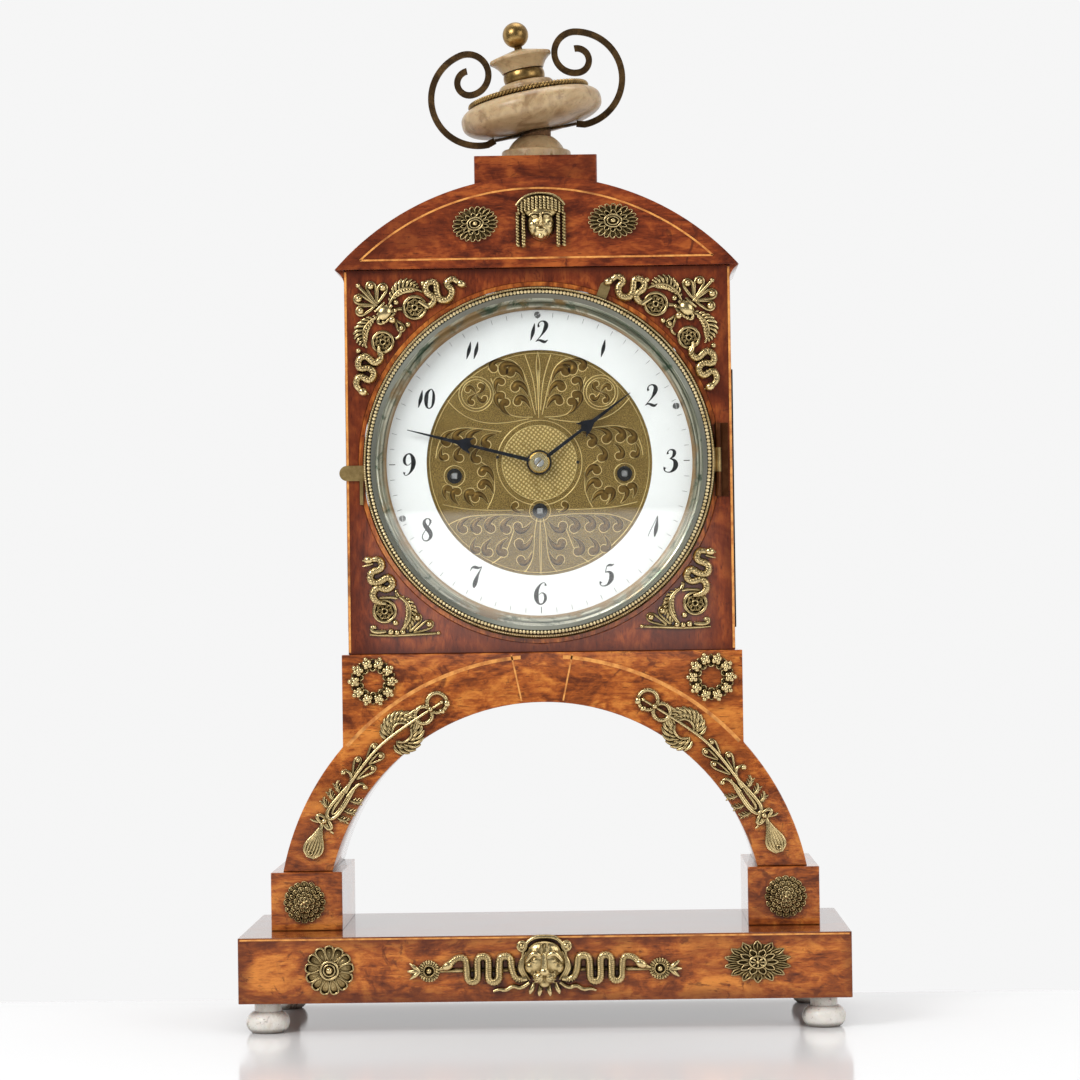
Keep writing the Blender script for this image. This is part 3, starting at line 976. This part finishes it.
def serpent(bm, line, level=1.2, head=2.0, gap=1.5):
    """Casts a wriggling serpent, banded along its back, with a beaked head at the end of its line."""
    strands(bm, [line], 0.95, level, fine=6, sides=3)
    for x, z, radius, heading in sampled(line[:-2], gap):
        bead(bm, x, z, 1.1 * radius, level, 0.36, 1.0, 14 - heading * 180 / pi, 12)
    x0, z0, _ = line[-3]
    x1, z1, _ = line[-1]
    lean = -atan2(z1 - z0, x1 - x0) * 180 / pi
    bead(bm, (2 * x0 + x1) / 3, (2 * z0 + z1) / 3, head, level + 0.4, 1.3, 0.9, lean)


def paired(bm, shift=0.0):
    """Adds the mirror image of a casting, moved sideways."""
    copy = bmesh.ops.duplicate(bm, geom=bm.verts[:] + bm.edges[:] + bm.faces[:])["geom"]
    verts = [v for v in copy if isinstance(v, bmesh.types.BMVert)]
    mirror = Matrix.Translation((shift * MM, 0, 0)) @ Matrix.Diagonal((-1, 1, 1, 1))
    bmesh.ops.transform(bm, matrix=mirror, verts=verts)


bm = bmesh.new()
for tip in ((-82.4, 364.2), (-75.2, 363.2), (-89.6, 356.8), (-88.6, 349.6)):
    teardrop(bm, (-79.0, 353.0), tip, 2.3, 0.95, 1.0)
strands(bm, [[(-78.6, 352.6, 0.9), (-83.6, 358, 1.15), (-88.6, 363.4, 0.8)]], 1.0, 1.2)
bead(bm, -88.0, 362.8, 1.3, 1.3)
for step in range(5):
    x, z = -77.4 + 1.25 * step, 351.4 - 1.35 * step
    ridge = [(x - 2.6, z - 1.7, 0.5), (x - 0.6, z - 0.2, 0.9), (x + 0.8, z + 1.2, 0.9),
             (x + 2.4, z + 3.0, 0.5)]
    strands(bm, [ridge], 1.0, 1.9)
bead(bm, -75.2, 349.2, 4.4, 0.8, 0.9, 0.6, 45, 16)
bead(bm, -71.4, 345.6, 1.7, 2.2, 1.2, 0.9, 45)
for x, z in ((-76.8, 345.6), (-71.0, 351.4)):
    strands(bm, [[(x - 0.4, z + 1.4, 1.0), (x - 2.0, z, 0.9), (x - 0.8, z - 2.2, 1.0),
                  (x + 1.6, z - 1.4, 0.7)]], 1.0, 1.4)
    bead(bm, x + 1.2, z - 1.2, 1.1, 1.8)
leaf = [(-73.0, 352.6, 0.7), (-71.0, 357.4, 0.9), (-66.4, 361.4, 0.9), (-60.4, 361.4, 0.8),
        (-56.4, 359.4, 0.6)]
acanthus(bm, leaf, (-62.0, 355.0))
roundel(bm, -60.2, 351.6, 6.3)
strands(bm, [[(-58.2, 354.6, 0.8), (-56.0, 353.4, 1.2), (-53.2, 351.6, 1.4)]], 1.0, 1.8)
strands(bm, [[(-72, 349.4, 1.2), (-69.8, 351.4, 1.2), (-66.6, 351.0, 1.0)]], 1.0, 0.9)
serpent(bm, [(-55.2, 351.4, 1.2), (-51.6, 352.4, 1.9), (-50.0, 356.4, 2.0), (-54.8, 359.0, 2.0),
             (-54.6, 363.4, 1.9),
             (-49.6, 364.6, 1.9), (-49.4, 358.6, 2.0), (-47.6, 354.6, 2.1), (-42.6, 355.2, 2.1),
             (-41.4, 360.2, 2.0),
             (-45.0, 363.0, 1.9), (-41.8, 366.0, 1.9), (-38.4, 363.6, 1.5), (-36.6, 361.8, 0.9),
             (-34.6, 361.6, 0.3)])
for x, z in ((-56, 363.4), (-69.4, 354.2), (-63.6, 343.2)):
    bead(bm, x, z, 1.5, 1.3)
teardrop(bm, (-70.4, 346.0), (-66.0, 340.4), 1.8, 0.8)
strands(bm, [[(-67.6, 340.6, 0.8), (-66.8, 337.4, 0.9), (-69.8, 336.4, 0.8)]], 1.0, 1.0)
leaf = [(-77.0, 348.0, 0.7), (-82.0, 345.8, 0.9), (-85.8, 341.2, 0.9), (-86.0, 335.6, 0.8),
        (-84.2, 332.0, 0.6)]
acanthus(bm, leaf, (-80.0, 339.0))
roundel(bm, -76.2, 334.8, 5.9)
strands(bm, [[(-78.0, 332.6, 0.8), (-78.6, 329.8, 1.2), (-77.2, 327.6, 1.4)]], 1.0, 1.8)
bead(bm, -88.2, 330.6, 1.4, 1.3)
serpent(bm, [(-77.4, 330.2, 1.2), (-76.4, 326.8, 1.9), (-80.4, 323.6, 2.0), (-84.2, 328.4, 2.0),
             (-88.4, 326.6, 1.9),
             (-88.2, 321.2, 1.9), (-82.6, 322.6, 2.0), (-80.2, 318.6, 2.1), (-83.2, 315.4, 2.1),
             (-87.8, 319.0, 1.9),
             (-90.0, 314.4, 1.8), (-87.6, 311.0, 1.4), (-85.6, 310.0, 0.9), (-83.5, 309.2, 0.3)])
paired(bm, -1.7)
mount("upper_corners", bm, case_face, 3.3, "upper_spandrels")

bm = bmesh.new()
for side, x, z in ((-1, -77, 202.3), (1, 75.7, 204.2)):
    def at(*points):
        """Points of a lower corner from its roundel, for the corner's own side."""
        return [(x - side * (u + 77), z + v - 202.3, r) for u, v, r in points]

    roundel(bm, x, z, 6.2)
    serpent(bm, at((-76.2, 206.0, 1.0), (-80.8, 206.4, 1.8), (-83.4, 210.6, 2.0), (-80.4, 214.6, 2.0),
                   (-75.4, 212.4, 1.9), (-72.2, 215.4, 2.0),
                   (-74.8, 219.8, 2.1), (-79.6, 216.0, 2.0), (-83.8, 216.8, 2.0), (-83.8, 221.6, 2.0),
                   (-77.6, 223.2, 2.0), (-78.8, 228.2, 1.9),
                   (-83.0, 227.6, 1.5), (-85.4, 226.6, 1.0), (-87.6, 227.4, 0.35)))
    strands(bm, [at((-82.6, 225.8, 0.9), (-85.2, 224.8, 0.7), (-87.4, 224.4, 0.3)),
                 at((-79.4, 208.6, 0.7), (-75, 209.6, 0.8), (-70.6, 208.6, 0.9)),
                 at((-70.6, 212.0, 0.8), (-72.2, 213.4, 0.9), (-70.2, 209.4, 1.2))], 1.0, 1.3)
    acanthus(bm, at((-71.0, 210.4, 0.8), (-65.6, 207.2, 1.1), (-64.0, 201.0, 1.2), (-66.0, 195.6, 1.1),
                    (-69.4, 191.6, 0.9)), (x - side * 4.4, z - 1.4), 1.0, 3.4)
    strands(bm, [at((-84.4, 190.9, 0.6), (-78.4, 190.4, 1.0), (-64, 190.6, 1.1), (-49.8, 191.2, 0.7))], 0.9,
            0.9)
    strands(bm, [at((-81.2, 194.0, 0.9), (-83.4, 195.4, 1.0), (-83.6, 192.4, 1.0), (-79.4, 191.8, 1.3),
                    (-76.4, 192.4, 1.0))], 1.0, 1.2)
    for u, v, r in ((-71.7, 196.5, 1.6), (-82.2, 194.4, 1.2), (-74.0, 192.0, 1.8), (-71.0, 191.6, 1.6),
                    (-68.0, 191.8, 1.5), (-50.6, 191.2, 1.1)):
        (bx, bz, _), = at((u, v, r))
        bead(bm, bx, bz, r, 1.1)
    for root, tip in (((-65.2, 191.4), (-60.0, 200.2)), ((-63.6, 191.2), (-53.6, 196.4))):
        (rx, rz, _), (tx, tz, _) = at((*root, 0), (*tip, 0))
        teardrop(bm, (rx, rz), (tx, tz), 2.1, 0.75)
mount("lower_corners", bm, case_face, 3.3, "lower_spandrels")

# Torch mounts: cast gilt wands down each leg of the bridge, two knotted serpents over a pair of wings,
# a staff with drops and scrolls, a leafy calyx tied with a bow, and a ribbed bulb at its foot.
bm = bmesh.new()
for x, z, radius, lumps in ((-51.8, 157.0, 4.9, 22), (-58.4, 151.0, 4.2, 20)):
    ring(bm, x, z, radius, 1.15, 1.1)
    for step in range(lumps):
        angle = 2 * pi * step / lumps
        bead(bm, x + radius * sin(angle), z + radius * cos(angle), 1.3, 1.1, 0.42, 0.95, angle * 180 / pi, 10)
bead(bm, -55.0, 153.8, 1.5, 1.9)
bead(bm, -46.8, 156.6, 1.7, 1.6, 1.3, 0.9, 75)
bead(bm, -49.4, 152.8, 1.4, 1.6, 1.3, 0.9, 20)
strands(bm, [[(-61.8, 149.4, 0.9), (-61.0, 146.4, 1.0), (-63.6, 142.4, 0.6)],
             [(-60.6, 154.6, 0.9), (-64.6, 152.0, 1.0), (-68.0, 150.2, 0.6)]], 1.0, 1.0)
strands(bm, [[(-49.4, 157.2, 0.7), (-62, 149.4, 0.8), (-78.0, 138.4, 0.9), (-87.4, 128.6, 0.9),
              (-96.0, 116.4, 0.9)]], 1.0, 1.6)
bead(bm, -49.4, 157.2, 1.1, 1.7)
wing_x, wing_z = -69.2, 142.6
feathers = []
for first, last, count in ((-118, 22, 9), (62, 212, 9)):
    for step in range(count):
        angle = radians(first + (last - first) * step / (count - 1))
        curl = 0.42 if first < 0 else -0.42
        for inner, outer, wide in ((7.2, 10.6, 1.05), (4.8, 7.8, 0.9)):
            feathers.append([(wing_x + reach * sin(angle + turn), wing_z + reach * cos(angle + turn), r)
                             for reach, turn,
                             r in ((inner, 0, 0.5), ((inner + outer) / 2, curl / 3, wide),
                                   (outer - 0.4, curl, 0.95 * wide), (outer + 0.3, 1.4 * curl, 0.4))])
strands(bm, feathers, 0.95, 0.9)
for first, last in ((-112, 30), (70, 205)):
    edge = [radians(first + (last - first) * step / 6) for step in range(7)]
    strands(bm, [[(wing_x + 4.9 * sin(a), wing_z + 4.9 * cos(a), 0.75) for a in edge]], 1.0, 1.4)
for root, tip in (((-87.4, 127.4), (-82.0, 137.0)), ((-86.4, 127.0), (-78.6, 132.0)),
                  ((-94.0, 120.4), (-90.4, 130.6)), ((-92.6, 119.6), (-82.6, 125.8))):
    teardrop(bm, root, tip, 1.7, 0.75)
stems = [[(-97.4, 113.4, 1.1), (-94.0, 118.6, 1.0), (-94.4, 124.0, 0.9), (-98.2, 124.4, 0.8)],
         [(-96.4, 111.4, 1.1), (-92.4, 116.6, 1.0), (-88.4, 118.4, 0.9), (-87.0, 115.6, 0.8)],
         [(-94.0, 119.0, 0.8), (-100.6, 112.0, 1.1), (-107.4, 103.6, 1.2), (-105.0, 99.8, 1.2),
          (-100.6, 102.8, 1.2), (-95.6, 110.4, 1.1), (-91.6, 117.6, 0.8)],
         [(-95.6, 116.0, 0.6), (-101.0, 109.0, 0.8), (-104.6, 103.6, 0.8), (-102.4, 102.6, 0.8),
          (-98.6, 107.4, 0.8), (-94.6, 114.4, 0.6)]]
strands(bm, stems, 1.0, 1.3, fine=5)
for x, z in ((-98.2, 123.4), (-87.6, 116.0)):
    bead(bm, x, z, 1.5, 1.6)
blades = []
for x, z, lean in ((-99.6, 113.0, -22), (-102.4, 109.4, -30), (-105.0, 105.6, -36), (-95.2, 109.6, 96),
                   (-98.4, 105.0, 102), (-101.6, 101.4, 106)):
    side = -1 if lean < 0 else 1
    blades.append(turned([(0, 0, 0.7), (0.9 * side, 2.6, 0.9), (0.6 * side, 4.8, 0.8),
                          (-1.0 * side, 6.6, 0.3)], lean, x, z))
    for share in (0.35, 0.6, 0.85):
        for edge in (-1, 1):
            blades.append(turned([(0.5 * side, 6.4 * share - 1.0, 0.4),
                                  (0.5 * side + edge * 1.0, 6.4 * share, 0.6),
                                  (edge * 1.7, 6.4 * share + 0.9, 0.2)], lean, x, z))
strands(bm, blades, 0.9, 0.9)
bow = [[(-106.4, 100.4, 1.0), (-109.6, 103.4, 1.1), (-112.4, 101.6, 1.1), (-109.2, 98.8, 0.9)],
       [(-106.4, 100.4, 1.0), (-103.6, 97.0, 1.1), (-105.6, 94.6, 1.1), (-108.2, 98.2, 0.9)],
       [(-108.4, 99.4, 0.9), (-112.6, 99.0, 0.8), (-114.6, 101.0, 0.5)],
       [(-107.4, 98.6, 0.9), (-105.0, 94.4, 0.8), (-103.4, 93.4, 0.5)],
       [(-107.8, 99.6, 0.9), (-109.8, 97.4, 1.3), (-109.4, 95.6, 1.2)]]
strands(bm, bow, 0.9, 1.4)
bead(bm, -107.8, 99.6, 1.5, 2.0)
ribs = []
for step in range(7):
    lean = (step - 3) / 3
    ribs.append(turned([(0.3 * lean, 0, 0.6), (lean * 1.5, -4.0, 0.75), (lean * 4.4, -9.4, 0.95),
                        (lean * 4.4, -14.0, 0.95), (lean * 1.4, -16.2, 0.6)], 20, -109.4, 97.0))
strands(bm, ribs, 1.0, 1.5)
bead(bm, -113.4, 86.6, 4.3, 0.3, 1.0, 0.42, 0, 20)
ring(bm, -114.8, 84.2, 1.0, 0.45, 2.3)
paired(bm)
mount("torches", bm, arch_face, 2.8, "torch_mounts")

# Lion mount: a cast gilt lion mask on a rod between two wriggling serpents, with a flower at each end.
# The mask stands high on the base front under an arched band, its chin over drop tufts and wavy ties.
bm = bmesh.new()
bead(bm, 0, 34.2, 9.6, 0.8, 1.08, 0.56, fine=32)
bead(bm, 0, 38.6, 5.6, 2.2, 1.45, 0.62, fine=24)
bead(bm, 0, 28.0, 5.4, 2.2, 1.15, 0.72, fine=24)
for side in (-1, 1):
    bead(bm, side * 6.6, 31.6, 3.2, 2.6, 0.9, 0.85)
    bead(bm, side * 2.5, 26.9, 2.7, 5.0, 1.0, 0.85)
    bead(bm, side * 4.3, 35.0, 1.2, 5.0, 1.3, 0.8)
    furrows = [[(side * 1.0, 36.2, 1.0), (side * 3.4, 38.4, 1.5), (side * 6.2, 38.0, 1.3),
                (side * 8.6, 34.4, 0.7)],
               [(side * 2.2, 33.6, 0.4), (side * 4.4, 33.2, 0.6), (side * 6.6, 34.2, 0.5)],
               [(side * 1.2, 43.0, 0.6), (side * 1.5, 40.4, 0.9), (side * 0.9, 37.4, 0.7)],
               [(side * 4.8, 30.0, 0.5), (side * 5.2, 27.0, 0.8), (side * 3.8, 24.4, 0.6)]]
    strands(bm, furrows, 1.0, 5.2)
    strands(bm, [[(side * 1.6, 27.4 - 0.8 * n, 0.2), (side * 4.2, 27.2 - 1.3 * n, 0.28),
                  (side * 5.6, 27.6 - 1.6 * n, 0.2)] for n in range(3)], 1.0, 7.0)
strands(bm, [[(0, 38.4, 1.3), (0, 34.4, 1.7), (0, 31.2, 2.0), (0, 29.6, 1.8)]], 1.0, 5.8)
bead(bm, 0, 29.6, 1.9, 6.4, 1.35, 0.85)
bead(bm, 0, 24.2, 2.3, 3.8, 1.2, 0.85)
bmesh.ops.translate(bm, vec=(0, base_face * MM, 0), verts=bm.verts[:])
melted(piece("lion_face", bm, gilding("lion gilt", base_face, 7.8), "case", "gilt_brass"), 0.24, 2)
bm = bmesh.new()
mane = [[(-10.6, 33.4, 0.8), (-10.4, 40.6, 1.0), (-5.6, 45.6, 1.15), (0, 45.8, 1.2), (5.6, 45.6, 1.15),
         (10.4, 40.6, 1.0), (10.6, 33.4, 0.8)]]
for side in (-1, 1):
    ring(bm, side * 10.5, 41.4, 2.1, 0.85, 1.8)
    bead(bm, side * 10.5, 41.4, 2.1, 0.9)
    mane += [[(side * (8.4 + 0.9 * n), 38.6 - n, 0.8), (side * (10.4 + 0.9 * n), 34.6 - n, 1.2),
              (side * (10.0 + 0.8 * n), 29.4, 1.2), (side * (7.0 + 1.2 * n), 25.4, 0.6)] for n in range(3)]
    for root, tip in (((2.2, 23.4), (2.6, 17.6)), ((5.2, 24.0), (7.0, 18.6))):
        mane.append([(side * root[0], root[1], 0.7),
                     (side * (0.5 * root[0] + 0.5 * tip[0] - 0.4), 0.55 * root[1] + 0.45 * tip[1], 1.3),
                     (side * tip[0], tip[1] + 1.2, 1.2), (side * tip[0], tip[1], 0.4)])
    tie = [(7.4, 24.0, 0.9), (11.4, 20.8, 1.1), (15, 23.0, 1.1), (18.6, 20.2, 1.0), (22, 21.4, 0.9),
           (24.6, 20.0, 0.5)]
    mane.append([(side * u, v, r) for u, v, r in tie])
    snake = [(8.5, 26.0, 1.4), (13.4, 25.0, 1.7), (15.8, 30.6, 1.8), (16.0, 36.8, 2.0), (21.4, 36.8, 2.0),
             (21.8, 30.6, 2.0), (21.8, 24.6, 2.0), (26.8, 24.6, 2.0),
             (26.8, 30.6, 2.0), (26.8, 36.8, 2.0), (32.0, 36.8, 1.95), (32.0, 30.6, 1.95), (32.0, 24.8, 1.95),
             (36.9, 24.8, 1.8), (37.0, 30.6, 1.75), (37.6, 36.4, 1.7), (42.4, 36.2, 1.7),
             (45.4, 33.0, 1.8), (48.0, 31.6, 1.3), (50.8, 30.6, 0.5)]
    line = [(side * u, v, r) for u, v, r in snake]
    serpent(bm, line, 1.7, 1.6, 0.95)
    bead(bm, side * 46.2, 32.6, 2.1, 2.1, 1.5, 0.85, side * 26)
    bead(bm, side * 46.4, 33.6, 0.5, 3.6)
    end_x, end_z = side * 55.2, 30.0
    disc(bm, end_x, end_z, 4.4, 0.2, dome=0.15)
    spokes(bm, end_x, end_z, 22, 2.9, 5.3, 0.75, 1.3)
    ring(bm, end_x, end_z, 2.6, 0.5, 1.3)
    bead(bm, end_x, end_z, 1.4, 1.5)
    for lean in (-38, 0, 38):
        tip = turned([(0, 0, 0.8), (0.0, 2.0, 1.4), (0, 4.2, 1.1), (0, 6.0, 0.4)], 90 + lean, 59.6, 30.0)
        mane.append([(side * u, v, r) for u, v, r in tip])
strands(bm, mane, 1.0, 1.7, fine=4)
strands(bm, [[(-53, 30.2, 1.1), (0, 30.2, 1.1), (53, 30.2, 1.1)]], 0.9, 0.7)
mount("lion_serpents", bm, base_face, 3.8, "lion_serpent_mount")

# Photographer's table and light: a glossy white table, a white backdrop and broad soft lamps.
# The front of the room is dark, but for a pale card that shows in the glass. The camera stands
# a little right of the clock, below the dial, and is turned a touch clockwise.
table = bpy.data.objects.new("table", bpy.data.meshes.new("table"))
bm = bmesh.new()
bmesh.ops.create_grid(bm, x_segments=1, y_segments=1, size=1.0, matrix=Matrix.Translation((0, -0.91, 0)))
bm.to_mesh(table.data)
bm.free()
bpy.context.scene.collection.objects.link(table)
table_top, tree, shader = material("table top")
finished(tree, shader, Base_Color=(0.93, 0.935, 0.94, 1), Roughness=0.12, Specular_IOR_Level=0.3)
table.data.materials.append(table_top)

world = bpy.data.worlds.new("studio")
bpy.context.scene.world = world
world.use_nodes = True
tree = world.node_tree
sky = tree.nodes["Background"]
backdrop, dark_front, card_light, all_round = 0.92, 0.12, 2.2, 0.6
path = node(tree, "LightPath")
seen = worked(tree, "MAXIMUM", path.outputs["Is Camera Ray"], path.outputs["Is Glossy Ray"])
seen = worked(tree, "MAXIMUM", seen, path.outputs["Is Transmission Ray"])
way = node(tree, "SeparateXYZ", Vector=node(tree, "TexCoord").outputs["Generated"])
front = spread(tree, way.outputs[1], 0.15, -0.15)
shown = spread(tree, front, 0.0, 1.0, backdrop, dark_front)
card = front
for axis, none, full in ((2, 0.0275, 0.0255), (2, -0.02, -0.01), (0, -0.074, -0.064), (0, 0.036, 0.026)):
    card = worked(tree, "MULTIPLY", card, spread(tree, way.outputs[axis], none, full))
shown = worked(tree, "MULTIPLY_ADD", card, card_light, shown)
choice = {"data_type": "FLOAT"}
shown = node(tree, "Mix", choice, i0=path.outputs["Is Camera Ray"], i2=shown, i3=backdrop).outputs[0]
level = node(tree, "Mix", choice, i0=seen, i2=all_round, i3=shown).outputs[0]
sky.inputs["Color"].default_value = (1, 1, 1, 1)
tree.links.new(level, sky.inputs["Strength"])


def lamp(name, place, aim, size, power):
    """Square soft lamp at a place, turned to its aim."""
    light = bpy.data.lights.new(name, "AREA")
    light.size = size
    light.energy = power
    made = bpy.data.objects.new(name, light)
    made.location = place
    made.rotation_euler = (Vector(aim) - Vector(place)).to_track_quat("-Z", "Y").to_euler()
    bpy.context.scene.collection.objects.link(made)


lamp("key", (-1.3, -1.5, 1.5), (0, 0, 0.25), 0.9, 26)
lamp("fill", (1.5, -1.4, 0.9), (0, 0, 0.25), 1.2, 10)
lamp("top", (0.1, 0.3, 2.0), (0, 0, 0.2), 1.2, 10)

camera = bpy.data.objects.new("camera", bpy.data.cameras.new("camera"))
camera.data.lens = 111.3
camera.data.sensor_width = 36
camera.location = (0.031, -1.6565, 0.2067)
camera.rotation_euler = (radians(91.03), radians(0.8), radians(1.1))
bpy.context.scene.collection.objects.link(camera)
bpy.context.scene.camera = camera
bpy.context.scene.view_settings.view_transform = "Standard"
